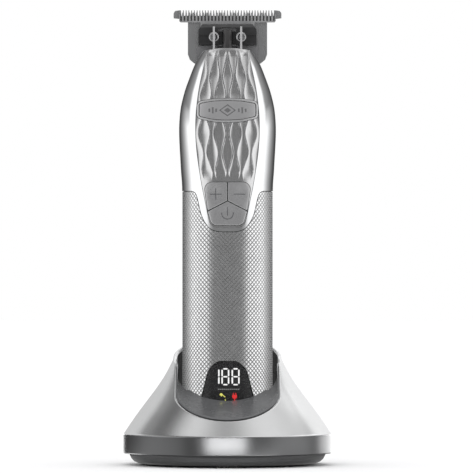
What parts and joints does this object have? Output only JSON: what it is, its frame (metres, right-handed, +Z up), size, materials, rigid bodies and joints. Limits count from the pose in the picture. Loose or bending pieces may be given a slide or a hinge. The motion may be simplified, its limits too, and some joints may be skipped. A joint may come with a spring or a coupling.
{
  "type": "body groomer with charging stand",
  "caption": "Cordless T-blade body groomer with a diamond-knurled metal grip, fluted front inlay, display window and flared charging stand.",
  "frame": {"origin": "centre of the stand on the table plane, under the feet", "axes": "+Z up along the handpiece, -Y the front with the buttons and display, +X to the right seen from the front"},
  "size_m": [0.0862, 0.0862, 0.1874],
  "materials": {
    "black_plastic": "matte",
    "blade_dark": "satin",
    "brass": "polished",
    "brushed_metal": "brushed",
    "button_metal": "satin",
    "cell_wrap": "gloss",
    "chrome": "polished",
    "copper": "satin",
    "dark_chrome": "polished",
    "grey_plastic": "satin",
    "icon_red": "gloss",
    "icon_yellow": "gloss",
    "knurled_metal": "satin",
    "lead_red": "satin",
    "magnet": "matte",
    "motor_steel": "satin",
    "pcb": "satin",
    "polished_dark": "polished",
    "rubber": "matte",
    "satin_silver": "satin",
    "screw_steel": "satin",
    "segment_grey": "gloss",
    "segment_white": "gloss",
    "smoked_glass": "gloss",
    "smoked_plastic": "gloss",
    "spring_steel": "polished"
  },
  "bodies": {
    "stand": {"stand_base_plate": "black_plastic", "stand_circuit_board": "pcb", "stand_cup": "smoked_plastic", "stand_feet": "rubber", "stand_screws": "screw_steel", "stand_shell": "satin_silver", "stand_trim_ring": "polished_dark", "stand_usb_socket": "screw_steel", "charge_pin_barrels": "brass", "charge_pin_spring_left": "spring_steel", "charge_pin_spring_right": "spring_steel"},
    "charge_contact_left": {"charge_pin_left": "brass"},
    "charge_contact_right": {"charge_pin_right": "brass"},
    "rotor": {"motor_armature": "copper", "motor_shaft": "screw_steel", "eccentric": "black_plastic"},
    "cutter": {"moving_cutter": "blade_dark", "drive_block": "black_plastic", "drive_block_screws": "screw_steel"},
    "plus_key": {"plus_button": "button_metal"},
    "minus_key": {"minus_button": "button_metal"},
    "power_key": {"power_button": "button_metal"},
    "handpiece": {"badge_plate": "brushed_metal", "battery_cell": "cell_wrap", "battery_tabs": "spring_steel", "blade_mount": "grey_plastic", "blade_screws": "screw_steel", "bottom_cap": "black_plastic", "cap_screws": "screw_steel", "charge_leads": "lead_red", "charge_pads": "brass", "chassis": "black_plastic", "display_gauge": "segment_grey", "display_lens": "smoked_glass", "display_module": "black_plastic", "display_oil_icon": "icon_yellow", "display_plug_icon": "icon_red", "display_segments": "segment_white", "fixed_blade": "blade_dark", "key_board": "pcb", "knurled_sleeve": "knurled_metal", "main_board": "pcb", "motor_bracket": "screw_steel", "motor_bushings": "brass", "motor_can": "motor_steel", "motor_end_cap": "black_plastic", "motor_leads": "lead_red", "motor_magnets": "magnet", "motor_screws": "screw_steel", "relief_panel": "dark_chrome", "tact_switches": "black_plastic", "tension_spring_left": "spring_steel", "tension_spring_right": "spring_steel", "upper_housing": "chrome"}
  },
  "joints": [
    {"name": "lift_off", "type": "slide", "parent": "stand", "child": "handpiece", "axis": [0, 0, 1], "range_m": [0, 0.045]},
    {"name": "motor_spin", "type": "hinge", "parent": "handpiece", "child": "rotor", "pos_m": [0, 0.0004, 0.14], "axis": [0, 0, 1], "continuous": true},
    {"name": "cutter_stroke", "type": "slide", "parent": "handpiece", "child": "cutter", "axis": [1, 0, 0], "range_m": [-0.00075, 0.00075]},
    {"name": "power_press", "type": "slide", "parent": "handpiece", "child": "power_key", "axis": [0, 1, 0], "range_m": [0, 0.0006], "stiffness_N_per_m": 400},
    {"name": "plus_press", "type": "slide", "parent": "handpiece", "child": "plus_key", "axis": [0, 1, 0], "range_m": [0, 0.0006], "stiffness_N_per_m": 400},
    {"name": "minus_press", "type": "slide", "parent": "handpiece", "child": "minus_key", "axis": [0, 1, 0], "range_m": [0, 0.0006], "stiffness_N_per_m": 400},
    {"name": "charge_pin_left_press", "type": "slide", "parent": "stand", "child": "charge_contact_left", "axis": [0, 0, -1], "range_m": [0, 0.0008], "stiffness_N_per_m": 60, "deforming": ["charge_pin_spring_left"]},
    {"name": "charge_pin_right_press", "type": "slide", "parent": "stand", "child": "charge_contact_right", "axis": [0, 0, -1], "range_m": [0, 0.0008], "stiffness_N_per_m": 60, "deforming": ["charge_pin_spring_right"]}
  ]
}
